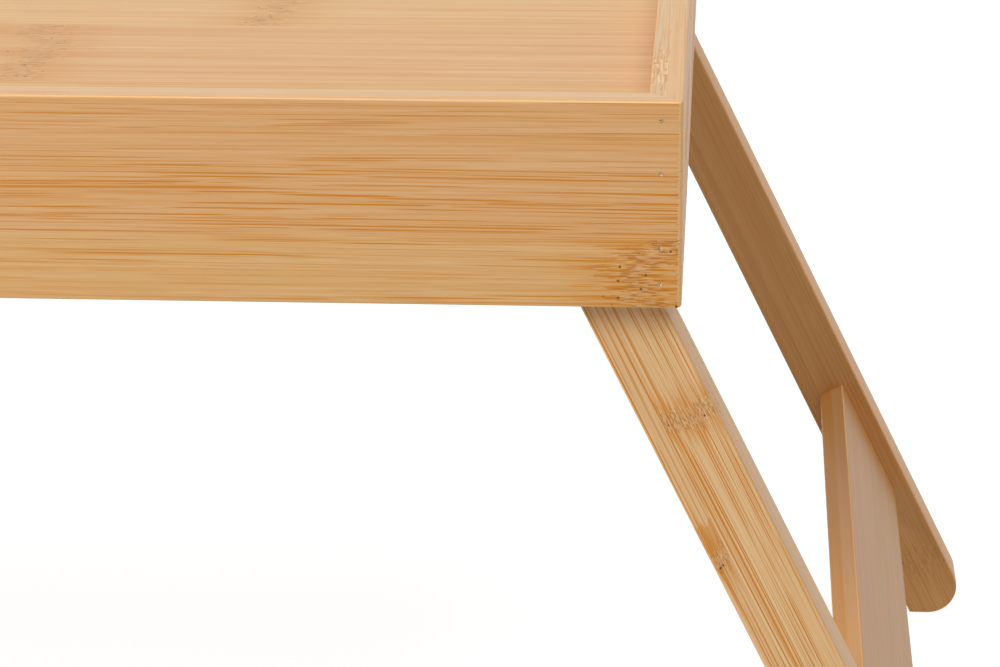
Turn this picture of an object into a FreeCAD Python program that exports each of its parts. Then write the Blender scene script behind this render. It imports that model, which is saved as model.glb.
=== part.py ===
import FreeCAD, Part
import os
import Sketcher

# Bed tray table in bamboo: a shallow tray with four mitred rails and a grooved-in floor, carried
# by two U-shaped leg frames. Each frame turns on two screws driven from inside through the tops of
# its legs, leans outwards against a bevel planed on the end rail, and folds flat under the floor.
#
# Frame: X runs along the tray, -Y is the front, +Z is up. The origin is the middle of the table
# at the level that the feet stand on. Lengths are in millimetres and angles in degrees.

SIZES = {
    # tray
    "tray_length": 550,
    "tray_depth": 300,
    "total_height": 248,
    "rail_height": 50,
    "rail_thickness": 8,
    "corner_radius": 1.6,
    "outer_edge_radius": 0.6,
    "inner_edge_radius": 0.4,
    "floor_recess": 11.5,
    "floor_thickness": 5,
    "groove_depth": 3.5,
    "floor_side_gap": 0.5,
    "floor_top_gap": 0.1,
    # brads that pin each mitre, measured from the end of the rail and down from its top edge
    "brad_radius": 0.6,
    "brad_length": 20,
    "brad_setting": 0.3,
    "brad_inset": 5,
    "brad_drop_one": 4.5,
    "brad_drop_two": 17.3,
    "brad_drop_three": 35.3,
    "brad_drop_four": 44,
    # legs
    "leg_angle": 26,
    "leg_width": 18,
    "leg_thickness": 16,
    "leg_edge_radius": 0.6,
    "foot_radius": 9,
    "pivot_inset": 26.2,
    "pivot_drop": 28,
    "stop_gap": 0.1,
    # pivot screws and their washers
    "screw_radius": 2.5,
    "screw_bite": 5.5,
    "screw_point": 2,
    "screw_head_radius": 4.6,
    "screw_head_height": 2.6,
    "screw_head_rounding": 1.2,
    "bore_gap": 0.06,
    "washer_radius": 6.5,
    "washer_thickness": 1,
    "side_gap": 0.15,
    # crossbars and the countersunk screws in their ends
    "crossbar_start": 160,
    "crossbar_width": 40,
    "crossbar_thickness": 8,
    "crossbar_edge_radius": 0.6,
    "end_screw_spacing": 22,
    "end_screw_radius": 1.75,
    "end_screw_head_radius": 3.5,
    "end_screw_length": 35,
    "end_screw_point": 4,
    # cross-shaped driver recess in every screw head
    "recess_length": 4,
    "recess_width": 0.9,
    "recess_depth": 1.2,
}

doc = FreeCAD.newDocument("bed_tray_table")
sheet = doc.addObject("Spreadsheet::Sheet", "sizes")
for row, (alias, size) in enumerate(SIZES.items(), start=1):
    sheet.set(f"A{row}", alias)
    sheet.set(f"B{row}", str(size))
    sheet.setAlias(f"B{row}", alias)
doc.recompute()


def formula(words):
    """Turn a formula in the sheet's words into one that the document understands."""
    for alias in sorted(SIZES, key=len, reverse=True):
        words = words.replace(f"[{alias}]", f"sizes.{alias}")
    return words


def value(words):
    """The number that a formula gives with the sheet's present sizes."""
    return float(sheet.evalExpression(formula(words)))


# How far apart two lengths may be and still count as the same.
TOLERANCE = 1e-4

# Heights above the feet, and sizes that several pieces share.
RAIL_BOTTOM = "([total_height] - [rail_height])"
FLOOR_BOTTOM = "([total_height] - [floor_recess] - [floor_thickness])"
PIVOT_HEIGHT = "([total_height] - [pivot_drop])"
PIVOT_X = "([tray_length] / 2 - [pivot_inset])"
LEG_GAP = "([washer_thickness] + [side_gap])"
LEG_OUTER_Y = f"([tray_depth] / 2 - [rail_thickness] - {LEG_GAP})"
LEG_MIDDLE_Y = f"({LEG_OUTER_Y} - [leg_thickness] / 2)"
CROSSBAR_LENGTH = f"(2 * ({LEG_OUTER_Y} - [leg_thickness]))"
CROSSBAR_MIDDLE = "([crossbar_start] + [crossbar_width] / 2)"
BRAD_DROPS = ("[brad_drop_one]", "[brad_drop_two]", "[brad_drop_three]", "[brad_drop_four]")


def bind(thing, path, words):
    thing.setExpression(path, formula(words))


def place(piece, x="0", y="0", z="0", axis=(0, 0, 1), angle="0"):
    """Put a piece at x, y, z, turned by the angle about the axis, all bound to the sheet."""
    turn = FreeCAD.Rotation(FreeCAD.Vector(*axis), value(angle))
    piece.Placement = FreeCAD.Placement(FreeCAD.Vector(value(x), value(y), value(z)), turn)
    bind(piece, ".Placement.Base.x", x)
    bind(piece, ".Placement.Base.y", y)
    bind(piece, ".Placement.Base.z", z)
    if value(angle):
        bind(piece, ".Placement.Rotation.Angle", angle)


def new_body(label):
    body = doc.addObject("PartDesign::Body", label)
    body.Label = label
    return body


def new_sketch(body, role, offset="0"):
    """A sketch on one of the body's own planes, moved along the plane's normal by the offset."""
    sketch = body.newObject("Sketcher::SketchObject", "outline")
    plane = next(part for part in body.Origin.OriginFeatures if part.Role == role)
    sketch.AttachmentSupport = [(plane, "")]
    sketch.MapMode = "FlatFace"
    bind(sketch, ".AttachmentOffset.Base.z", offset)
    return sketch


def pin(sketch, index, point, x, y):
    """Hold one point of the sketch at x, y, both bound to the sheet."""
    for direction, words in (("DistanceX", x), ("DistanceY", y)):
        number = sketch.addConstraint(
            Sketcher.Constraint(direction, -1, 1, index, point, value(words)))
        bind(sketch, f"Constraints[{number}]", words)


def draw_outline(sketch, corners):
    """Draw a closed outline, anticlockwise. A corner is (x, y) where a straight side starts, or
    (x, y, radius) where an arc of up to a quarter turn starts."""
    count = len(corners)
    spots = [FreeCAD.Vector(value(corner[0]), value(corner[1]), 0) for corner in corners]
    for index, corner in enumerate(corners):
        start, end = spots[index], spots[(index + 1) % count]
        if len(corner) == 2:
            sketch.addGeometry(Part.LineSegment(start, end), False)
            continue
        radius = value(corner[2])
        chord = end - start
        rise = (radius ** 2 - (chord.Length / 2) ** 2) ** 0.5
        inward = FreeCAD.Vector(-chord.y, chord.x, 0).normalize()
        centre = (start + end) / 2 + inward * rise
        middle = centre - inward * radius
        sketch.addGeometry(Part.Arc(start, middle, end), False)
    for index, corner in enumerate(corners):
        following = (index + 1) % count
        sketch.addConstraint(Sketcher.Constraint("Coincident", index, 2, following, 1))
        pin(sketch, index, 1, corner[0], corner[1])
        if len(corner) == 3:
            number = sketch.addConstraint(
                Sketcher.Constraint("Radius", index, value(corner[2])))
            bind(sketch, f"Constraints[{number}]", corner[2])


def draw_rectangle(sketch, left, right, low, high):
    draw_outline(sketch, [(left, low), (right, low), (right, high), (left, high)])


def draw_circles(sketch, centres, radius):
    for x, y in centres:
        middle = FreeCAD.Vector(value(x), value(y), 0)
        circle = Part.Circle(middle, FreeCAD.Vector(0, 0, 1), value(radius))
        index = sketch.addGeometry(circle, False)
        pin(sketch, index, 3, x, y)
        number = sketch.addConstraint(Sketcher.Constraint("Radius", index, value(radius)))
        bind(sketch, f"Constraints[{number}]", radius)


def pad(body, sketch, length, midplane=False):
    feature = body.newObject("PartDesign::Pad", "pad")
    feature.Profile = sketch
    bind(feature, "Length", length)
    feature.Midplane = midplane
    doc.recompute()
    return feature


def pocket(body, sketch, length=None, reverse=False, midplane=False):
    """Cut the sketch into the body, to the given depth or right through it."""
    before = body.Shape.Volume
    feature = body.newObject("PartDesign::Pocket", "pocket")
    feature.Profile = sketch
    if length is None:
        feature.Type = "ThroughAll"
    else:
        bind(feature, "Length", length)
    feature.Reversed = reverse
    feature.Midplane = midplane
    doc.recompute()
    if body.Shape.Volume >= before:
        print(f"{body.Label}: a pocket cuts nothing")
    return feature


def revolve(body, sketch):
    """Turn a sketch on the XZ plane once round the body's Z axis."""
    feature = body.newObject("PartDesign::Revolution", "revolution")
    feature.Profile = sketch
    feature.ReferenceAxis = (sketch, ["V_Axis"])
    doc.recompute()
    return feature


def edges_where(shape, test):
    """Names of the shape's edges whose middle point and edge pass the test."""
    names = []
    for number, edge in enumerate(shape.Edges, start=1):
        first, last = edge.ParameterRange
        if test(edge.valueAt((first + last) / 2), edge):
            names.append(f"Edge{number}")
    return names


def round_edges(body, feature, test, radius):
    names = edges_where(feature.Shape, test)
    rounding = body.newObject("PartDesign::Fillet", "rounding")
    rounding.Base = (feature, names)
    bind(rounding, "Radius", radius)
    doc.recompute()
    return rounding


def near(first, second):
    return abs(first - second) < TOLERANCE


# Rails -----------------------------------------------------------------------------------------
# Every rail is modelled as the front one, outer face to -Y, and then turned about Z into place.
# `length` is its own length and `reach` the distance from the tray's middle to its outer face.

def make_rail(label, length, reach, turn):
    body = new_body(label)
    half = f"({length} / 2)"
    outer = f"(-{reach})"
    inner = f"({outer} + [rail_thickness])"
    tip = "([corner_radius] * (1 - cos(45)))"
    plan = new_sketch(body, "XY_Plane")
    draw_outline(plan, [
        (f"-{half} + [corner_radius]", outer),
        (f"{half} - [corner_radius]", outer, "[corner_radius]"),
        (f"{half} - {tip}", f"{outer} + {tip}"),
        (f"{half} - [rail_thickness]", inner),
        (f"-{half} + [rail_thickness]", inner),
        (f"-{half} + {tip}", f"{outer} + {tip}", "[corner_radius]"),
    ])
    board = pad(body, plan, "[rail_height]")
    outer_y, inner_y, top = value(outer), value(inner), value("[rail_height]")
    tip_y = outer_y + value(tip)

    def above_or_below(point):
        return near(point.z, 0) or near(point.z, top)

    board = round_edges(
        body, board,
        lambda point, edge: above_or_below(point) and point.y < tip_y - TOLERANCE,
        "[outer_edge_radius]")
    board = round_edges(
        body, board,
        lambda point, edge: above_or_below(point) and near(point.y, inner_y),
        "[inner_edge_radius]")

    groove = new_sketch(body, "XY_Plane", "[rail_height] - [floor_recess] + [floor_top_gap]")
    draw_rectangle(groove, f"-{half}", half, f"{inner} - [groove_depth]", f"{inner} + [rail_thickness]")
    pocket(body, groove, "[floor_thickness] + [floor_top_gap]")

    place(body, z=RAIL_BOTTOM, angle=turn)
    return body


def make_side_rail(label, turn):
    """Front or rear rail: blind holes inside for the pivot screws, and the brads' holes."""
    body = make_rail(label, "[tray_length]", "([tray_depth] / 2)", turn)
    screws = new_sketch(body, "XZ_Plane", "[tray_depth] / 2 - [rail_thickness]")
    height = "([rail_height] - [pivot_drop])"
    draw_circles(screws, [(PIVOT_X, height), (f"-{PIVOT_X}", height)], "[screw_radius]")
    pocket(body, screws, "[screw_bite]", reverse=True)
    brads = new_sketch(body, "XZ_Plane", "[tray_depth] / 2")
    spread = "([tray_length] / 2 - [brad_inset])"
    spots = [(f"{side}{spread}", f"[rail_height] - {drop}") for side in ("", "-") for drop in BRAD_DROPS]
    draw_circles(brads, spots, "[brad_radius]")
    pocket(body, brads)
    return body


def make_end_rail(label, turn):
    """Left or right rail: holes for the brads in both ends, and the bevel that the legs lean on."""
    reach = "([tray_length] / 2)"
    body = make_rail(label, "[tray_depth]", reach, turn)
    spots = [(f"-{reach} + [brad_inset]", f"[rail_height] - {drop}") for drop in BRAD_DROPS]
    for end, backwards in (("[tray_depth] / 2", False), ("-[tray_depth] / 2", True)):
        brads = new_sketch(body, "YZ_Plane", end)
        draw_circles(brads, spots, "[brad_radius]")
        pocket(body, brads, "[brad_length] + [brad_setting]", reverse=backwards)
    bevel = new_sketch(body, "YZ_Plane")
    rise = "([rail_height] - [pivot_drop])"
    high = f"({PIVOT_X} + ([leg_width] / 2 + [stop_gap]) / cos([leg_angle]))"
    low = f"({high} + {rise} * tan([leg_angle]))"
    draw_outline(bevel, [(f"-{low}", "0"), (f"-{high}", "0"), (f"-{high}", rise)])
    pocket(body, bevel, midplane=True)
    return body


# Tray floor ------------------------------------------------------------------------------------
def make_floor(label):
    body = new_body(label)
    panel = new_sketch(body, "XY_Plane")
    short = "[rail_thickness] - [groove_depth] + [floor_side_gap]"
    half_length = f"([tray_length] / 2 - ({short}))"
    half_depth = f"([tray_depth] / 2 - ({short}))"
    draw_rectangle(panel, f"-{half_length}", half_length, f"-{half_depth}", half_depth)
    pad(body, panel, "[floor_thickness]")
    place(body, z=FLOOR_BOTTOM)
    return body


# Brads -----------------------------------------------------------------------------------------
# Four to a corner, driven from the long rail's outer face across the mitre into the end rail.

def make_brads(label, side, face):
    pins = []
    for drop in BRAD_DROPS:
        brad = doc.addObject("Part::Cylinder", "brad")
        bind(brad, "Radius", "[brad_radius]")
        bind(brad, "Height", "[brad_length]")
        place(brad, x=f"{side} * ([tray_length] / 2 - [brad_inset])",
              y=f"{face} * ([tray_depth] / 2 - [brad_setting])",
              z=f"[total_height] - {drop}", axis=(face, 0, 0), angle="90")
        pins.append(brad)
    group = doc.addObject("Part::Compound", label)
    group.Label = label
    group.Links = pins
    return group


# Leg frames ------------------------------------------------------------------------------------
# A leg and a crossbar are modelled hanging straight down from the pivot, with the outer side to
# `side` times X, and then tilted outwards about the pivot.

def tilt(piece, side, y="0"):
    place(piece, x=f"{side} * {PIVOT_X}", y=y, z=PIVOT_HEIGHT, axis=(0, -side, 0), angle="[leg_angle]")


def make_leg(label, side, face):
    body = new_body(label)
    half = "([leg_width] / 2)"
    inner_foot = f"(({PIVOT_HEIGHT} - {half} * sin([leg_angle])) / cos([leg_angle]))"
    outer_foot = f"(({PIVOT_HEIGHT} + {half} * sin([leg_angle])) / cos([leg_angle]))"
    left_foot, right_foot = (inner_foot, outer_foot) if side > 0 else (outer_foot, inner_foot)
    profile = new_sketch(body, "XZ_Plane")
    draw_outline(profile, [
        (half, "0", half),
        ("0", half, half),
        (f"-{half}", "0"),
        (f"-{half}", f"-{left_foot}"),
        (half, f"-{right_foot}"),
    ])
    stick = pad(body, profile, "[leg_thickness]", midplane=True)
    corner_x, corner_z = side * value(half), -value(outer_foot)
    stick = round_edges(
        body, stick,
        lambda point, edge: near(point.x, corner_x) and near(point.z, corner_z),
        "[foot_radius]")
    face_y = value("[leg_thickness] / 2")
    round_edges(body, stick, lambda point, edge: near(abs(point.y), face_y), "[leg_edge_radius]")

    bore = new_sketch(body, "XZ_Plane")
    draw_circles(bore, [("0", "0")], "[screw_radius] + [bore_gap]")
    pocket(body, bore, midplane=True)

    screws = new_sketch(body, "XZ_Plane")
    spots = [("0", f"-{CROSSBAR_MIDDLE} + {end} * [end_screw_spacing] / 2") for end in (1, -1)]
    draw_circles(screws, spots, "[end_screw_radius]")
    drilled = pocket(body, screws, midplane=True)
    outside = face * face_y
    hole_radius = value("[end_screw_radius]")
    holes = edges_where(
        drilled.Shape,
        lambda point, edge: near(point.y, outside) and isinstance(edge.Curve, Part.Circle)
        and near(edge.Curve.Radius, hole_radius))
    sink = body.newObject("PartDesign::Chamfer", "countersink")
    sink.Base = (drilled, holes)
    bind(sink, "Size", "[end_screw_head_radius] - [end_screw_radius]")
    doc.recompute()

    tilt(body, side, y=f"{face} * {LEG_MIDDLE_Y}")
    return body


def make_crossbar(label, side):
    body = new_body(label)
    half = "([crossbar_thickness] / 2)"
    section = new_sketch(body, "XZ_Plane")
    draw_rectangle(section, f"-{half}", half, "-[crossbar_start] - [crossbar_width]", "-[crossbar_start]")
    board = pad(body, section, CROSSBAR_LENGTH, midplane=True)
    half_length = value(f"{CROSSBAR_LENGTH} / 2")
    round_edges(body, board, lambda point, edge: abs(point.y) < half_length / 2,
                "[crossbar_edge_radius]")
    spots = [("0", f"-{CROSSBAR_MIDDLE} + {end} * [end_screw_spacing] / 2") for end in (1, -1)]
    for end, backwards in ((f"{CROSSBAR_LENGTH} / 2", False), (f"-{CROSSBAR_LENGTH} / 2", True)):
        screws = new_sketch(body, "XZ_Plane", end)
        draw_circles(screws, spots, "[end_screw_radius]")
        pocket(body, screws, "[end_screw_length] - [leg_thickness]", reverse=backwards)
    tilt(body, side)
    return body


# Fasteners -------------------------------------------------------------------------------------
# Each is modelled with its point down -Z and the top of its head (or of the washer) at the origin.

def cut_recess(body):
    """Cross recess in the top of a screw head."""
    for along, across in (("[recess_length]", "[recess_width]"), ("[recess_width]", "[recess_length]")):
        slot = new_sketch(body, "XY_Plane")
        draw_rectangle(slot, f"-{along} / 2", f"{along} / 2", f"-{across} / 2", f"{across} / 2")
        pocket(body, slot, "[recess_depth]")


def make_pivot_screw(label, side, face):
    """Pan-head screw: it passes both washers and the leg, and bites into the rail."""
    body = new_body(label)
    under_head = "(2 * [washer_thickness] + 2 * [side_gap] + [leg_thickness])"
    shoulder = f"([screw_head_height] + {under_head} + [screw_bite] - [screw_point])"
    profile = new_sketch(body, "XZ_Plane")
    draw_outline(profile, [
        ("0", f"-{shoulder} - [screw_point]"),
        ("[screw_radius]", f"-{shoulder}"),
        ("[screw_radius]", "-[screw_head_height]"),
        ("[screw_head_radius]", "-[screw_head_height]"),
        ("[screw_head_radius]", "-[screw_head_rounding]", "[screw_head_rounding]"),
        ("[screw_head_radius] - [screw_head_rounding]", "0"),
        ("0", "0"),
    ])
    revolve(body, profile)
    cut_recess(body)
    place(body, x=f"{side} * {PIVOT_X}",
          y=f"{face} * ([tray_depth] / 2 - [rail_thickness] - {under_head} - [screw_head_height])",
          z=PIVOT_HEIGHT, axis=(face, 0, 0), angle="90")
    return body


def make_washers(label, side, face):
    """Two alike: one spaces the leg off the rail and the other lies under the screw's head."""
    rings = []
    depths = ("0", "[washer_thickness] + 2 * [side_gap] + [leg_thickness]")
    for depth in depths:
        body = new_body(f"{label}_ring")
        ring = new_sketch(body, "XY_Plane")
        draw_circles(ring, [("0", "0")], "[washer_radius]")
        draw_circles(ring, [("0", "0")], "[screw_radius]")
        pad(body, ring, "[washer_thickness]")
        place(body, x=f"{side} * {PIVOT_X}",
              y=f"{face} * ([tray_depth] / 2 - [rail_thickness] - ({depth}))",
              z=PIVOT_HEIGHT, axis=(face, 0, 0), angle="90")
        rings.append(body)
    group = doc.addObject("Part::Compound", label)
    group.Label = label
    group.Links = rings
    return group


def make_end_screws(label, side, face):
    """Two countersunk screws that hold one end of a crossbar, their heads flush with the leg."""
    screws = []
    for end in (1, -1):
        body = new_body(f"{label}_screw")
        profile = new_sketch(body, "XZ_Plane")
        draw_outline(profile, [
            ("0", "-[end_screw_length]"),
            ("[end_screw_radius]", "-[end_screw_length] + [end_screw_point]"),
            ("[end_screw_radius]", "-[end_screw_head_radius] + [end_screw_radius]"),
            ("[end_screw_head_radius]", "0"),
            ("0", "0"),
        ])
        revolve(body, profile)
        cut_recess(body)
        along = f"({CROSSBAR_MIDDLE} + {end} * [end_screw_spacing] / 2)"
        place(body, x=f"{side} * ({PIVOT_X} + {along} * sin([leg_angle]))",
              y=f"{face} * {LEG_OUTER_Y}", z=f"{PIVOT_HEIGHT} - {along} * cos([leg_angle])",
              axis=(-face, 0, 0), angle="90")
        screws.append(body)
    group = doc.addObject("Part::Compound", label)
    group.Label = label
    group.Links = screws
    return group


# The table -------------------------------------------------------------------------------------
SIDES = {"right": 1, "left": -1}
FACES = {"front": -1, "rear": 1}

pieces = [
    make_side_rail("front_rail", "0"),
    make_side_rail("rear_rail", "180"),
    make_end_rail("right_end_rail", "90"),
    make_end_rail("left_end_rail", "270"),
    make_floor("tray_floor"),
]
for side_name, side in SIDES.items():
    pieces.append(make_crossbar(f"{side_name}_crossbar", side))
    for face_name, face in FACES.items():
        corner = f"{side_name}_{face_name}"
        pieces.append(make_brads(f"{corner}_brads", side, face))
        pieces.append(make_leg(f"{corner}_leg", side, face))
        pieces.append(make_pivot_screw(f"{corner}_pivot_screw", side, face))
        pieces.append(make_washers(f"{corner}_washers", side, face))
        pieces.append(make_end_screws(f"{corner}_crossbar_screws", side, face))
doc.recompute()

for thing in doc.Objects:
    if "Invalid" in thing.State or "Error" in thing.State:
        raise RuntimeError(f"{thing.Label} did not build")
for piece in pieces:
    if piece.Shape.isNull() or not piece.Shape.isValid():
        raise RuntimeError(f"{piece.Label} has no valid shape")

os.makedirs("parts", exist_ok=True)
for piece in pieces:
    piece.Shape.exportStep(f"parts/{piece.Label}.step")
    box = piece.Shape.BoundBox
    print(f"{piece.Label}: {len(piece.Shape.Solids)} solid(s), {piece.Shape.Volume:.0f} mm3, "
          f"x {box.XMin:.2f} to {box.XMax:.2f}, y {box.YMin:.2f} to {box.YMax:.2f}, "
          f"z {box.ZMin:.2f} to {box.ZMax:.2f}")
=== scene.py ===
from math import cos, pi, radians, sin

import bpy
from mathutils import Matrix, Vector


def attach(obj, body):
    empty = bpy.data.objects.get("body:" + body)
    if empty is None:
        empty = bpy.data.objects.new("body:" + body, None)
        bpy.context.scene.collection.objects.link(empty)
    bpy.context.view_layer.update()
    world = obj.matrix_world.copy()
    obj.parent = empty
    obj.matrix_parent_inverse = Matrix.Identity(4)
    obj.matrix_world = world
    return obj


# Bed tray table in laminated bamboo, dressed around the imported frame. X runs along the tray, -Y is
# the front and +Z is up. Lengths are in metres, and in millimetres in the bamboo's pattern.
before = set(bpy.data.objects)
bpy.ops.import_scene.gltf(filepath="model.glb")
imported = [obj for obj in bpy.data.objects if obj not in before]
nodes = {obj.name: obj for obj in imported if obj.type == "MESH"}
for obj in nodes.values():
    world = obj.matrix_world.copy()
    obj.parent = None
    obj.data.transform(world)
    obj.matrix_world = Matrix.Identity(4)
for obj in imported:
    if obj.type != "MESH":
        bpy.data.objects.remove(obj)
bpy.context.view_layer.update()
bpy.ops.object.select_all(action="DESELECT")


# ---- Front and rear rails --------------------------------------------------------------------
# The two long walls of the tray: three bamboo strips high and two plies thick, pressed, planed
# and satin-lacquered. Each is mitred to the end rails and grooved inside for the tray floor.
TRAY_LENGTH, TRAY_DEPTH = 0.550, 0.300
RAIL_TOP = 0.248
RAIL_THICKNESS = 0.008
MITRE_OFFSET = (TRAY_LENGTH - TRAY_DEPTH) / 2
MM_PER_M = 1000.0

# A board's faces lie PLY_START inside its first ply or strip. Where a strip or a ply would end on a
# face, it ends a HAIR off, so that the face is all of one strip and one ply.
PLY_START = 0.0001
HAIR = 0.000001


def connect(tree, target, source):
    """Feed a socket from another socket, or set it to a plain value."""
    if isinstance(source, bpy.types.NodeSocket):
        tree.links.new(source, target)
    else:
        target.default_value = source


def add_node(tree, kind, inputs, **settings):
    """Add a node, with its inputs connected or set, and return its outputs."""
    made = tree.nodes.new(kind)
    for name, setting in settings.items():
        setattr(made, name, setting)
    for key, source in inputs.items():
        connect(tree, made.inputs[key], source)
    return made.outputs


def calculate(tree, operation, *sources):
    return add_node(tree, "ShaderNodeMath", dict(enumerate(sources)), operation=operation)[0]


def product(tree, first, *others):
    """All the values multiplied together."""
    for other in others:
        first = calculate(tree, "MULTIPLY", first, other)
    return first


def rescale(tree, source, times, plus):
    """The source times one value, plus another."""
    return calculate(tree, "MULTIPLY_ADD", source, times, plus)


def sway(tree, noise, reach, middle=0.0):
    """The middle value, moved by half the reach either way as the noise goes from 0 to 1."""
    return rescale(tree, calculate(tree, "SUBTRACT", noise, 0.5), reach, middle)


def fade(tree, source, low, high, start=0.0, end=1.0):
    """A soft step from `start` at low to `end` at high."""
    return add_node(tree, "ShaderNodeMapRange", {0: source, 1: low, 2: high, 3: start, 4: end},
                    interpolation_type="SMOOTHSTEP")[0]


def fade_out(tree, source, low, high):
    return fade(tree, source, low, high, start=1.0, end=0.0)


def mix_colour(tree, amount, first, second, mode="MIX"):
    return add_node(tree, "ShaderNodeMix", {0: amount, 6: first, 7: second},
                    data_type="RGBA", blend_type=mode)[2]


def vector_maths(tree, operation, *sources):
    return add_node(tree, "ShaderNodeVectorMath", dict(enumerate(sources)), operation=operation)


def stretched_noise(tree, where, along, across, detail=1.0, distortion=0.0, shift=0.0):
    """Noise whose spots are `along` mm long with the grain and `across` mm wide."""
    scaled = vector_maths(tree, "MULTIPLY_ADD", where, (1 / along, 1 / across, 1 / across),
                          (shift, shift, shift))[0]
    return add_node(tree, "ShaderNodeTexNoise", {
        "Vector": scaled, "Scale": 1.0, "Detail": detail, "Distortion": distortion})[0]


def bundles(tree, where, pitch, solid, gone, run):
    """Fibre bundles about `pitch` mm apart, each a thin line that comes and goes in about `run`
    mm. A line is solid and gone at these shares of the pitch from its middle."""
    along, over, through = add_node(tree, "ShaderNodeSeparateXYZ", {0: where})
    section = add_node(tree, "ShaderNodeCombineXYZ", {
        0: calculate(tree, "DIVIDE", over, pitch), 1: calculate(tree, "DIVIDE", through, pitch)})[0]
    cells = add_node(tree, "ShaderNodeTexVoronoi", {
        "Vector": section, "Scale": 1.0, "Randomness": 0.85}, voronoi_dimensions="2D")
    luck_strength, luck_place, _ = add_node(tree, "ShaderNodeSeparateColor", {0: cells["Color"]})
    core = fade_out(tree, cells["Distance"], solid, gone)
    place = rescale(tree, luck_place, 500.0, calculate(tree, "DIVIDE", along, run))
    shown = add_node(tree, "ShaderNodeTexNoise", {"W": place, "Scale": 1.0, "Detail": 1.0},
                     noise_dimensions="1D")[0]
    return product(tree, fade(tree, shown, 0.36, 0.50), core, rescale(tree, luck_strength, 0.7, 0.3))


# Laminated bamboo, as a group. Its position runs along the grain in X, over the strips in Y and
# through the plies in Z.
PALE = (0.785, 0.525, 0.282, 1)
DEEP = (0.705, 0.408, 0.163, 1)
LINE = (0.60, 0.215, 0.014, 1)
bamboo = bpy.data.node_groups.new("laminated_bamboo", "ShaderNodeTree")
for label, kind, usual in (
        ("Position", "Vector", (0, 0, 0)),
        ("Strip Width", "Float", 16.0),
        ("Ply Thickness", "Float", 4.0),
        ("Seed", "Float", 0.0),
        ("Lines", "Float", 1.0),
        ("Line Length", "Float", 1.0),
        ("Clusters", "Float", 1.0),
        ("Joint At", "Float", 0.0),
        ("Joint Step", "Float", 0.0),
        ("Joint Spacing", "Float", 300.0),
        ("Joint Strength", "Float", 1.0),
        ("Joint Length", "Float", 1.0),
        ("Scorch", "Float", 0.0),
        ("Facing", "Float", 0.0),
        ("Roundness", "Float", 0.0),
        ("Seam", "Float", 0.0),
        ("Corner", "Float", 0.0),
        ("Edge Paleness", "Float", 0.45),
        ("Ply Contrast", "Float", 0.0),
        ("Pale", "Color", PALE),
        ("Deep", "Color", DEEP),
        ("Line", "Color", LINE)):
    setting = bamboo.interface.new_socket(name=label, in_out="INPUT", socket_type="NodeSocket" + kind)
    setting.default_value = usual
for label, kind in (("Color", "Color"), ("Roughness", "Float"), ("Height", "Float")):
    bamboo.interface.new_socket(name=label, in_out="OUTPUT", socket_type="NodeSocket" + kind)
tree = bamboo
given = add_node(tree, "NodeGroupInput", {})
result = tree.nodes.new("NodeGroupOutput").inputs

millimetres = add_node(tree, "ShaderNodeVectorMath", {0: given["Position"], "Scale": MM_PER_M},
                       operation="SCALE")[0]
along, over, through = add_node(tree, "ShaderNodeSeparateXYZ", {0: millimetres})
strip_place = calculate(tree, "DIVIDE", over, given["Strip Width"])
strip = calculate(tree, "FLOOR", strip_place)
ply_place = calculate(tree, "DIVIDE", through, given["Ply Thickness"])
ply = calculate(tree, "FLOOR", ply_place)
key = add_node(tree, "ShaderNodeCombineXYZ", {0: strip, 1: ply, 2: given["Seed"]})[0]
luck = add_node(tree, "ShaderNodeTexWhiteNoise", {0: key}, noise_dimensions="3D")[1]
luck_lines, luck_tone, luck_tint = add_node(tree, "ShaderNodeSeparateColor", {0: luck})

# Every strip has grain of its own, which wanders a little along its length.
own_place = vector_maths(tree, "MULTIPLY_ADD", luck, (900.0, 700.0, 500.0), millimetres)[0]
wander = stretched_noise(tree, own_place, 200.0, 14.0, detail=0.0)
dive = stretched_noise(tree, own_place, 110.0, 3.5, detail=0.0, shift=61.0)
slide = add_node(tree, "ShaderNodeCombineXYZ", {
    1: sway(tree, wander, reach=3.0), 2: sway(tree, dive, reach=2.2)})[0]
grain_place = vector_maths(tree, "ADD", own_place, slide)[0]

# Fibre bundles: thin parallel lines that taper out as the surface leaves them, denser in places.
strong_run = product(tree, given["Line Length"], 60.0)
strong_lines = bundles(tree, grain_place, pitch=0.60, solid=0.21, gone=0.35, run=strong_run)
faint_run = product(tree, given["Line Length"], 25.0)
faint_lines = bundles(tree, grain_place, pitch=0.46, solid=0.18, gone=0.38, run=faint_run)
pale_lines = stretched_noise(tree, grain_place, 160.0, 0.42, detail=0.0, shift=77.0)
cluster = fade(tree, stretched_noise(tree, grain_place, 110.0, 3.2, shift=11.0), 0.38, 0.62)
bands = stretched_noise(tree, grain_place, 240.0, 2.4, shift=53.0)
fibre = stretched_noise(tree, grain_place, 12.0, 0.17, detail=0.0, shift=19.0)

# Joints of the culm: once per strip and spacing, a ragged patch with a scorched side, a pale
# crinkled core and small dark pores. A long joint has its figure drawn out along the grain.
PLY_JOINT_STEP = 67.0
joint_length = given["Joint Length"]
joint_at = rescale(tree, strip, given["Joint Step"], given["Joint At"])
joint_at = rescale(tree, ply, PLY_JOINT_STEP, joint_at)
high_end = calculate(tree, "DIVIDE", given["Joint Spacing"], 2.0)
low_end = product(tree, high_end, -1.0)
distance = calculate(tree, "WRAP", calculate(tree, "SUBTRACT", along, joint_at), high_end, low_end)
ragged_noise = stretched_noise(tree, own_place, 60.0, 1.3, shift=41.0)
curved_noise = stretched_noise(tree, own_place, 60.0, 9.0, detail=0.0, shift=3.0)
ragged = sway(tree, curved_noise, reach=16.0, middle=sway(tree, ragged_noise, reach=12.0))
distance = rescale(tree, ragged, joint_length, distance)
farness = calculate(tree, "DIVIDE", calculate(tree, "ABSOLUTE", distance), joint_length)
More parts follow.
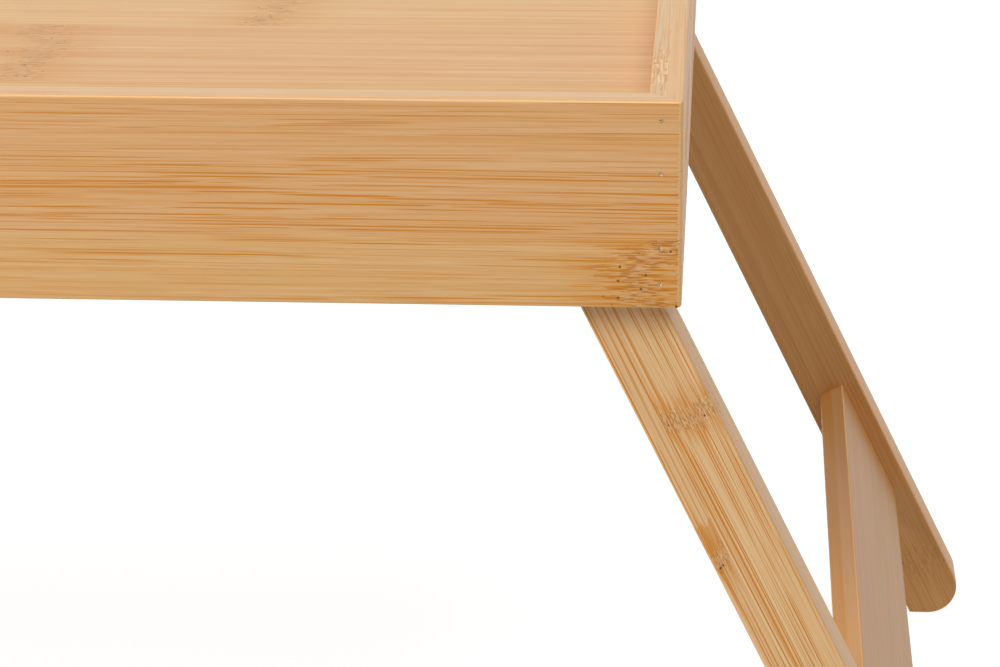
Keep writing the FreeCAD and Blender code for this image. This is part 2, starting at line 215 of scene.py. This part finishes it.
core = fade_out(tree, farness, 0.0, 9.0)
around = fade_out(tree, farness, 4.0, 26.0)
scorch = product(tree, fade(tree, distance, -11.2, -9.7), fade_out(tree, distance, -3.0, 1.0))
finer = calculate(tree, "POWER", joint_length, -0.5)
figure_scale = add_node(tree, "ShaderNodeCombineXYZ", {
    0: calculate(tree, "POWER", joint_length, -1.0), 1: finer, 2: finer})[0]
figure_place = vector_maths(tree, "MULTIPLY", own_place, figure_scale)[0]
strokes = stretched_noise(tree, figure_place, 3.0, 0.31, distortion=0.5, shift=23.0)
flecks = stretched_noise(tree, figure_place, 2.4, 0.34, detail=0.0, distortion=0.4, shift=71.0)
long_strokes = stretched_noise(tree, own_place, 13.0, 0.34, distortion=0.3, shift=29.0)
pore_cells = add_node(tree, "ShaderNodeTexVoronoi", {"Vector": own_place, "Scale": 0.38},
                      voronoi_dimensions="3D")["Distance"]
pore = product(tree, fade_out(tree, pore_cells, 0.10, 0.17), fade_out(tree, farness, 5.0, 9.0))

# How much of each shows. Furrows and ridges fill the core, and streaks run out of it on both
# sides. Only every other strip is scorched.
strength = given["Joint Strength"]
in_core = product(tree, fade(tree, core, 0.0, 0.25), strength)
core_reach = product(tree, core, 0.22)
furrows = fade(tree, calculate(tree, "ADD", strokes, core_reach), 0.63, 0.73)
furrows = product(tree, furrows, in_core)
ridges = fade(tree, calculate(tree, "ADD", flecks, core_reach), 0.68, 0.78)
ridges = product(tree, ridges, in_core)
streaks = fade(tree, rescale(tree, around, 0.16, long_strokes), 0.62, 0.72)
streaks = product(tree, streaks, around, strength)
core_amount = product(tree, core, strength)
around_amount = product(tree, around, strength)
odd_strip = calculate(tree, "FLOORED_MODULO", strip, 2.0)
scorch_amount = product(tree, scorch, odd_strip, given["Scorch"])

# The lines are stronger in clusters and on some strips, and weaker in a joint's core.
line_share = product(
    tree, rescale(tree, sway(tree, cluster, given["Clusters"]), 0.5, 0.9),
    rescale(tree, luck_lines, 0.85, 0.53), rescale(tree, core_amount, -0.6, 1.0))
lines = calculate(tree, "MAXIMUM", product(tree, faint_lines, 0.5), strong_lines)
lines = product(tree, lines, line_share, given["Lines"])
lines = calculate(tree, "MINIMUM", calculate(tree, "MAXIMUM", lines, streaks), 1.0)

# The colour between the lines goes from pale to deep: in soft bands, from strip to strip, deeper
# round a joint and with faint pale lines. Each strip leans a little to green or to pink.
GREENISH = (1.0, 1.03, 0.96, 1)
PINKISH = (1.0, 0.975, 1.03, 1)
tone = sway(tree, bands, reach=1.3, middle=0.42)
tone = sway(tree, luck_tone, reach=0.4, middle=tone)
tone = rescale(tree, around_amount, 0.45, tone)
tone = sway(tree, pale_lines, reach=-1.5, middle=tone)
tone = calculate(tree, "MINIMUM", calculate(tree, "MAXIMUM", tone, 0.0), 1.0)
colour = mix_colour(tree, tone, given["Pale"], given["Deep"])
tint = mix_colour(tree, luck_tint, GREENISH, PINKISH)
colour = mix_colour(tree, 1.0, colour, tint, "MULTIPLY")

# Faces on the plies' edges get a pale grey tint that is painted sheen, with weaker lines; the
# inner ply's edge is also really paler, so it gets more of it. The rounded edges are smoother and
# carry a painted orange highlight, and the tray's upright corners carry the brightest painted
# highlight.
EDGE_SHEEN_TINT = (0.66, 0.62, 0.445, 1)
ROUNDED_EDGE_HIGHLIGHT = (0.92, 0.50, 0.17, 1)
CORNER_HIGHLIGHT = (1.0, 0.58, 0.23, 1)
odd_ply = calculate(tree, "FLOORED_MODULO", ply, 2.0)
edge = fade(tree, given["Facing"], 0.7, 0.97)
edge_sheen_share = rescale(tree, odd_ply, given["Ply Contrast"], given["Edge Paleness"])
# Painted sheen: a pale grey tint on the faces along the plies' edges.
colour = mix_colour(tree, product(tree, edge, edge_sheen_share), colour, EDGE_SHEEN_TINT)
smoother = calculate(tree, "MAXIMUM", product(tree, edge, 0.45),
                     product(tree, given["Roundness"], 0.8))
weaker = calculate(tree, "SUBTRACT", 1.0, smoother)
lines = product(tree, lines, weaker)
furrows = product(tree, furrows, rescale(tree, edge, -0.25, weaker))
# Painted orange highlight along the rounded edges.
colour = mix_colour(tree, product(tree, given["Roundness"], 0.5), colour, ROUNDED_EDGE_HIGHLIGHT)
# Painted highlight on the tray's upright corners, which the lamps barely light.
colour = mix_colour(tree, product(tree, given["Corner"], 0.95), colour, CORNER_HIGHLIGHT)

# Everything drawn on that colour: the scorch, the lines, the joint's furrows, ridges and pores,
# and the fine fibre all over.
RIDGE = (1.0, 0.82, 0.55, 1)
RIDGE_ON_EDGE = (0.86, 0.74, 0.50, 1)
FURROW_SHADE = (0.64, 0.58, 0.6, 1)
PORE = (0.06, 0.025, 0.01, 1)
scorched = mix_colour(tree, 0.3, given["Line"], given["Deep"])
colour = mix_colour(tree, product(tree, scorch_amount, 0.75), colour, scorched)
colour = mix_colour(tree, lines, colour, given["Line"])
furrow = mix_colour(tree, 1.0, given["Line"], FURROW_SHADE, "MULTIPLY")
colour = mix_colour(tree, product(tree, furrows, 0.8), colour, furrow)
ridge = mix_colour(tree, edge, mix_colour(tree, 0.25, given["Pale"], RIDGE), RIDGE_ON_EDGE)
ridge_amount = product(tree, ridges, rescale(tree, edge, 0.35, 0.5))
colour = mix_colour(tree, ridge_amount, colour, ridge)
colour = mix_colour(tree, product(tree, pore, strength), colour, PORE)
shade = fade(tree, fibre, 0.25, 0.75, start=0.97, end=1.03)
shade = add_node(tree, "ShaderNodeCombineColor", {0: shade, 1: shade, 2: shade})[0]
colour = mix_colour(tree, 1.0, colour, shade, "MULTIPLY")

# The glue lines between the strips and between the plies, and the mitre's seam. A face that lies
# on a ply's edge shows no glue.
strip_edge = product(tree, calculate(tree, "PINGPONG", strip_place, 0.5), given["Strip Width"])
ply_edge = product(tree, calculate(tree, "PINGPONG", ply_place, 0.5), given["Ply Thickness"])
glue = fade_out(tree, calculate(tree, "MINIMUM", strip_edge, ply_edge), 0.06, 0.2)
glue = product(tree, glue, fade(tree, ply_edge, 0.0, 0.02))
glue = calculate(tree, "MAXIMUM", glue, given["Seam"])
colour = mix_colour(tree, product(tree, glue, 0.4), colour, given["Line"])

connect(tree, result["Color"], colour)
roughness = rescale(tree, fibre, 0.14, 0.42)
connect(tree, result["Roughness"], rescale(tree, core_amount, 0.12, roughness))
height = rescale(tree, lines, -0.5, product(tree, fibre, 0.3))
height = rescale(tree, furrows, -0.8, height)
height = rescale(tree, glue, -0.6, height)
connect(tree, result["Height"], rescale(tree, pore, -3.0, height))


def empty_nodes(owner):
    """The node tree of a material or a world, with nothing in it."""
    owner.use_nodes = True
    owner.node_tree.nodes.clear()
    return owner.node_tree


def bamboo_material(name, along, over, origin, mitred=False, **looks):
    """Lacquered bamboo whose grain runs along one direction, and whose strips lie over another.
    The looks are the pattern's settings where they aren't the usual ones, such as lines=0.4."""
    material = bpy.data.materials.new(name)
    tree = empty_nodes(material)
    through = Vector(along).cross(Vector(over))
    turn = Matrix((along, over, through))
    place = add_node(tree, "ShaderNodeTexCoord", {})
    position = add_node(tree, "ShaderNodeMapping", {
        0: place["Object"], 1: -(turn @ Vector(origin)), 2: turn.to_euler()})[0]

    facings = []
    for direction in (over, along, through):
        dot = vector_maths(tree, "DOT_PRODUCT", place["Normal"], direction)["Value"]
        facings.append(calculate(tree, "ABSOLUTE", dot))
    flatness = calculate(tree, "MAXIMUM", calculate(tree, "MAXIMUM", *facings[:2]), facings[2])
    # Masks: rounded edges get weaker lines and a painted highlight, upright corners a brighter one.
    roundness = fade_out(tree, flatness, 0.86, 0.985)
    corner = product(tree, roundness, fade_out(tree, facings[0], 0.05, 0.3))

    # The mitre's seam crosses the top and bottom edges of the rails at 45 degrees.
    seam = 0.0
    if mitred:
        x, y, _ = add_node(tree, "ShaderNodeSeparateXYZ", {0: place["Object"]})
        off = calculate(tree, "SUBTRACT", calculate(tree, "ABSOLUTE", x),
                        calculate(tree, "ABSOLUTE", y))
        off = calculate(tree, "ABSOLUTE", calculate(tree, "SUBTRACT", off, MITRE_OFFSET))
        seam = product(tree, fade_out(tree, off, 0.00008, 0.00024),
                       fade(tree, facings[0], 0.9, 0.99))

    grain = tree.nodes.new("ShaderNodeGroup")
    grain.node_tree = bamboo
    looks.update(position=position, facing=facings[0], roundness=roundness, corner=corner, seam=seam)
    for look, value in looks.items():
        connect(tree, grain.inputs[look.replace("_", " ").title()], value)
    relief = add_node(tree, "ShaderNodeBump", {
        "Height": grain.outputs["Height"], "Strength": 0.25, "Distance": 0.00006})[0]
    surface = add_node(tree, "ShaderNodeBsdfPrincipled", {
        "Base Color": grain.outputs["Color"], "Roughness": grain.outputs["Roughness"],
        "Normal": relief, "IOR": 1.35, "Coat Weight": 0.12, "Coat Roughness": 0.25,
        "Coat IOR": 1.5})[0]
    add_node(tree, "ShaderNodeOutputMaterial", {0: surface})
    return material


def dress(name, material):
    """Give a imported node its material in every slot."""
    mesh = nodes[name].data
    mesh.materials.clear()
    mesh.materials.append(material)


RAIL_LOOKS = {"mitred": True, "strip_width": 16.67, "ply_thickness": 4.0, "ply_contrast": 0.35,
              "lines": 1.35}
RAIL_STRIPS_FROM = RAIL_TOP + HAIR
dress("front_rail", bamboo_material(
    "front_rail_bamboo", (1, 0, 0), (0, 0, -1),
    (0, -TRAY_DEPTH / 2 - PLY_START, RAIL_STRIPS_FROM), seed=1493.0,
    joint_at=-112.0, joint_step=190.0, joint_spacing=420.0, joint_length=1.25, **RAIL_LOOKS))
dress("rear_rail", bamboo_material(
    "rear_rail_bamboo", (1, 0, 0), (0, 0, -1),
    (0, TRAY_DEPTH / 2 - RAIL_THICKNESS - PLY_START, RAIL_STRIPS_FROM), seed=8.0,
    joint_at=60.0, joint_step=145.0, joint_spacing=400.0, **RAIL_LOOKS))


# ---- End rails -------------------------------------------------------------------------------
# The two short walls, of the same laminated board. Their lower inner edge is planed to a bevel,
# which the legs lean on, and their mitred ends are glued and pinned.
dress("right_end_rail", bamboo_material(
    "right_end_rail_bamboo", (0, 1, 0), (0, 0, -1),
    (TRAY_LENGTH / 2 + PLY_START, 0, RAIL_STRIPS_FROM), seed=5.0,
    joint_at=-196.0, joint_step=120.0, joint_spacing=380.0, joint_length=3.0, **RAIL_LOOKS))
dress("left_end_rail", bamboo_material(
    "left_end_rail_bamboo", (0, 1, 0), (0, 0, -1),
    (-TRAY_LENGTH / 2 + RAIL_THICKNESS + PLY_START, 0, RAIL_STRIPS_FROM), seed=12.0,
    joint_at=40.0, joint_step=130.0, joint_spacing=380.0, **RAIL_LOOKS))


# ---- Tray floor ------------------------------------------------------------------------------
# A thin panel of bamboo strips laid flat side by side. It is paler and smoother than the rails,
# and its four edges sit loose in the rails' grooves.
FLOOR_UNDERSIDE = 0.2315
FLOOR_STRIPS_FROM = -0.097
dress("tray_floor", bamboo_material(
    "tray_floor_bamboo", (1, 0, 0), (0, 1, 0),
    (0, FLOOR_STRIPS_FROM, FLOOR_UNDERSIDE - HAIR), seed=21.0, strip_width=55.0, ply_thickness=5.2,
    lines=0.45, line_length=2.0,
    joint_at=110.0, joint_step=53.0, joint_spacing=330.0, joint_strength=0.6,
    pale=(0.685, 0.439, 0.206, 1), deep=(0.60, 0.30, 0.103, 1), line=(0.57, 0.26, 0.06, 1)))


# ---- Brads -----------------------------------------------------------------------------------
# Thin steel pins, four to a corner, driven through the long rails into the ends of the end rails
# and set a little below the surface. A plug of wood filler closes each hole.
def metal_material(name, bright, dull, roughness):
    material = bpy.data.materials.new(name)
    tree = empty_nodes(material)
    place = add_node(tree, "ShaderNodeTexCoord", {})["Object"]
    cloud = add_node(tree, "ShaderNodeTexNoise", {"Vector": place, "Scale": 900.0, "Detail": 3.0})[0]
    surface = add_node(tree, "ShaderNodeBsdfPrincipled", {
        "Base Color": mix_colour(tree, cloud, dull, bright), "Metallic": 1.0,
        "Roughness": fade(tree, cloud, 0.3, 0.7, roughness, roughness + 0.12)})[0]
    add_node(tree, "ShaderNodeOutputMaterial", {0: surface})
    return material


SIDES = {"right": 1, "left": -1}
FACES = {"front": -1, "rear": 1}
steel = metal_material("bright_steel", (0.62, 0.62, 0.62, 1), (0.48, 0.48, 0.49, 1), 0.3)
for side in SIDES:
    for face in FACES:
        dress(f"{side}_{face}_brads", steel)

# The plug is a disc whose outer face is rounded off at its rim and dished in the middle.
FILLER_RADIUS = 0.00058
FILLER_DEPTH = 0.00027
RIM_WIDTH, RIM_DROP = 0.00009, 0.00002
SLOPE_WIDTH, SLOPE_DROP = 0.0002, 0.00003
DISH_WIDTH, DISH_DROP = 0.00017, 0.00012
bpy.ops.mesh.primitive_cylinder_add(vertices=32, radius=FILLER_RADIUS, depth=FILLER_DEPTH,
                                    rotation=(pi / 2, 0, 0))
filler = bpy.context.object
bpy.ops.object.transform_apply(location=True, rotation=True, scale=True)
bpy.ops.object.mode_set(mode="EDIT")
bpy.ops.mesh.select_mode(type="FACE")
bpy.ops.mesh.select_all(action="DESELECT")
bpy.ops.object.mode_set(mode="OBJECT")
for flat in filler.data.polygons:
    flat.select = flat.normal.y < -0.9
bpy.ops.object.mode_set(mode="EDIT")
for width, drop in ((RIM_WIDTH, RIM_DROP), (SLOPE_WIDTH, SLOPE_DROP), (DISH_WIDTH, DISH_DROP)):
    bpy.ops.mesh.inset(thickness=width)
    bpy.ops.transform.translate(value=(0, drop, 0))
bpy.ops.object.mode_set(mode="OBJECT")
bpy.ops.object.shade_smooth_by_angle(angle=radians(50))

PASTE_DARK = (0.28, 0.14, 0.055, 1)
PASTE_LIGHT = (0.78, 0.53, 0.30, 1)
paste = bpy.data.materials.new("wood_filler")
tree = empty_nodes(paste)
place = add_node(tree, "ShaderNodeTexCoord", {})["Object"]
crumbs = add_node(tree, "ShaderNodeTexNoise", {"Vector": place, "Scale": 3500.0, "Detail": 3.0})[0]
relief = add_node(tree, "ShaderNodeBump", {"Height": crumbs, "Strength": 0.5, "Distance": 0.00004})[0]
surface = add_node(tree, "ShaderNodeBsdfPrincipled", {
    "Base Color": mix_colour(tree, fade(tree, crumbs, 0.42, 0.56), PASTE_DARK, PASTE_LIGHT),
    "Roughness": fade(tree, crumbs, 0.3, 0.7, 0.6, 0.8), "Normal": relief})[0]
add_node(tree, "ShaderNodeOutputMaterial", {0: surface})
filler.data.materials.append(paste)

BRAD_X = 0.270
BRAD_HEIGHTS = (0.2435, 0.2307, 0.2127, 0.204)
BRAD_SINK = 0.0003
PLUG_MIDDLE = TRAY_DEPTH / 2 - BRAD_SINK + FILLER_DEPTH / 2
for side, sign in SIDES.items():
    for face, toward in FACES.items():
        outwards = Matrix.Rotation(pi if face == "rear" else 0.0, 4, "Z")
        bpy.ops.object.select_all(action="DESELECT")
        plugs = []
        for height in BRAD_HEIGHTS:
            plug = bpy.data.objects.new(f"{side}_{face}_filler", filler.data.copy())
            bpy.context.scene.collection.objects.link(plug)
            hole = Matrix.Translation((sign * BRAD_X, toward * PLUG_MIDDLE, height))
            plug.data.transform(hole @ outwards)
            plug.select_set(True)
            plugs.append(plug)
        bpy.context.view_layer.objects.active = plugs[0]
        bpy.ops.object.join()
        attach(plugs[0], "tray")
bpy.data.objects.remove(filler)


# ---- Legs ------------------------------------------------------------------------------------
# Square sticks of laminated bamboo, rounded at the hinge and at the outer corner of the foot,
# and cut level where they stand. The grain runs down each leg.
PIVOT_X, PIVOT_Z = 0.2488, 0.220
LEG_ANGLE = radians(26)
LEG_WIDTH = 0.018
LEG_MIDDLE_Y = 0.13285
LEG_GLUE_LINE = 0.0042
LEG_STRIP = LEG_WIDTH / 2 + LEG_GLUE_LINE + HAIR
LEG_LOOKS = {
    "front": {"lines": 1.6, "joint_at": 59.6, "joint_step": -37.6, "joint_length": 0.5,
              "joint_strength": 0.78, "pale": (0.81, 0.545, 0.29, 1),
              "deep": (0.72, 0.415, 0.175, 1)},
    # The rear legs' deeper, more saturated colours are painted shade from the tray above and painted
    # warm bounce light.
    "rear": {"lines": 0.4, "joint_at": 222.0, "joint_step": -40.5, "joint_strength": 0.3,
             "pale": (0.76, 0.405, 0.15, 1), "deep": (0.68, 0.32, 0.095, 1)}}
for side, sign in SIDES.items():
    down = Vector((sign * sin(LEG_ANGLE), 0, -cos(LEG_ANGLE)))
    out = Vector((sign * cos(LEG_ANGLE), 0, sin(LEG_ANGLE)))
    for face, toward in FACES.items():
        pivot = Vector((sign * PIVOT_X, toward * LEG_MIDDLE_Y, PIVOT_Z))
        dress(f"{side}_{face}_leg", bamboo_material(
            f"{side}_{face}_leg_bamboo", down, out, pivot - out * LEG_GLUE_LINE,
            seed=2204.0 + 2 * sign + toward, strip_width=LEG_STRIP * MM_PER_M,
            ply_thickness=8.3, line_length=1.6, clusters=0.3, joint_spacing=270.0, scorch=0.9,
            edge_paleness=0.15, **LEG_LOOKS[face]))


# ---- Crossbars -------------------------------------------------------------------------------
# One flat board between the two legs of each frame, set edge up and screwed through the legs.
# It is two strips wide and two plies thick.
BAR_TOP = 0.160
BAR_STRIP = 0.040 / 2 + PLY_START
BAR_PLY = 0.008 / 2 + HAIR
for side, sign in SIDES.items():
    down = Vector((sign * sin(LEG_ANGLE), 0, -cos(LEG_ANGLE)))
    top = Vector((sign * PIVOT_X, 0, PIVOT_Z)) + down * (BAR_TOP - PLY_START)
    dress(f"{side}_crossbar", bamboo_material(
        f"{side}_crossbar_bamboo", (0, 1, 0), down, top, seed=41.0 + sign,
        strip_width=BAR_STRIP * MM_PER_M, ply_thickness=BAR_PLY * MM_PER_M, lines=0.35,
        line_length=2.0, joint_strength=0.0, edge_paleness=0.0, ply_contrast=0.2,
        pale=(0.54, 0.279, 0.095, 1), deep=(0.477, 0.224, 0.062, 1)))


# ---- Screws and washers ----------------------------------------------------------------------
# Zinc-plated pan-head screws with two washers each are the hinges. Countersunk screws of the
# same finish hold the crossbars.
zinc = metal_material("zinc_plate", (0.56, 0.57, 0.59, 1), (0.40, 0.41, 0.43, 1), 0.26)
for side in SIDES:
    for face in FACES:
        for kind in ("pivot_screw", "washers", "crossbar_screws"):
            dress(f"{side}_{face}_{kind}", zinc)


# ---- Ground, light and camera ----------------------------------------------------------------
# A plain white ground that keeps the table's shadow and is see-through from below, soft lamps and
# the photograph's viewpoint.
def seen_directly(tree):
    """1 for rays from the camera, a reflection or a refraction, and 0 for the light on things."""
    rays = add_node(tree, "ShaderNodeLightPath", {})
    seen = calculate(tree, "MAXIMUM", rays["Is Camera Ray"], rays["Is Glossy Ray"])
    return calculate(tree, "MAXIMUM", seen, rays["Is Transmission Ray"])


WHITE = (1, 1, 1, 1)
bpy.ops.mesh.primitive_plane_add(size=8, location=(0, 0, 0))
ground = bpy.context.object
ground.name = "ground"
white_ground = bpy.data.materials.new("white_ground")
tree = empty_nodes(white_ground)
seen = seen_directly(tree)
paint = mix_colour(tree, seen, (0.5, 0.5, 0.5, 1), (0.3, 0.3, 0.3, 1))
matt = add_node(tree, "ShaderNodeBsdfDiffuse", {0: paint})[0]
glow = add_node(tree, "ShaderNodeEmission", {0: WHITE, 1: product(tree, seen, 0.89)})[0]
both = add_node(tree, "ShaderNodeAddShader", {0: matt, 1: glow})[0]
clear = add_node(tree, "ShaderNodeBsdfTransparent", {})[0]
from_below = add_node(tree, "ShaderNodeNewGeometry", {})["Backfacing"]
one_way = add_node(tree, "ShaderNodeMixShader", {0: from_below, 1: both, 2: clear})[0]
add_node(tree, "ShaderNodeOutputMaterial", {0: one_way})
ground.data.materials.append(white_ground)

world = bpy.data.worlds.new("studio")
bpy.context.scene.world = world
tree = empty_nodes(world)
brightness = fade(tree, seen_directly(tree), 0.0, 1.0, start=0.2, end=1.0)
sky = add_node(tree, "ShaderNodeBackground", {0: WHITE, 1: brightness})[0]
add_node(tree, "ShaderNodeOutputWorld", {0: sky})

LAMPS_AIM = Vector((0.2, 0, 0.15))
for name, place, size, power in (("overhead_lamp", (0.6, -0.1, 2.2), 1.4, 20.5),
                                 ("front_lamp", (-1.3, -1.8, 1.65), 1.1, 56),
                                 ("right_lamp", (2.3, -0.4, 0.7), 1.0, 4.5)):
    bpy.ops.object.light_add(type="AREA", location=place)
    lamp = bpy.context.object
    lamp.name = name
    lamp.rotation_euler = (LAMPS_AIM - Vector(place)).to_track_quat("-Z", "Y").to_euler()
    lamp.data.shape = "SQUARE"
    lamp.data.size = size
    lamp.data.energy = power

CAMERA_PLACE = (0.28495, -0.94448, 0.47441)
CAMERA_HEADING = 3.773
CAMERA_DIP = 19.580
CAMERA_ROLL = -0.398
bpy.ops.object.camera_add(location=CAMERA_PLACE)
camera = bpy.context.object
heading = Matrix.Rotation(radians(CAMERA_HEADING), 3, "Z")
pitch = Matrix.Rotation(radians(90 - CAMERA_DIP), 3, "X")
roll = Matrix.Rotation(radians(CAMERA_ROLL), 3, "Z")
camera.rotation_euler = (heading @ pitch @ roll).to_euler()
camera.data.sensor_width = 36
camera.data.lens = 129.69
camera.data.clip_start = 0.01
bpy.context.scene.camera = camera
bpy.context.scene.view_settings.view_transform = "Standard"
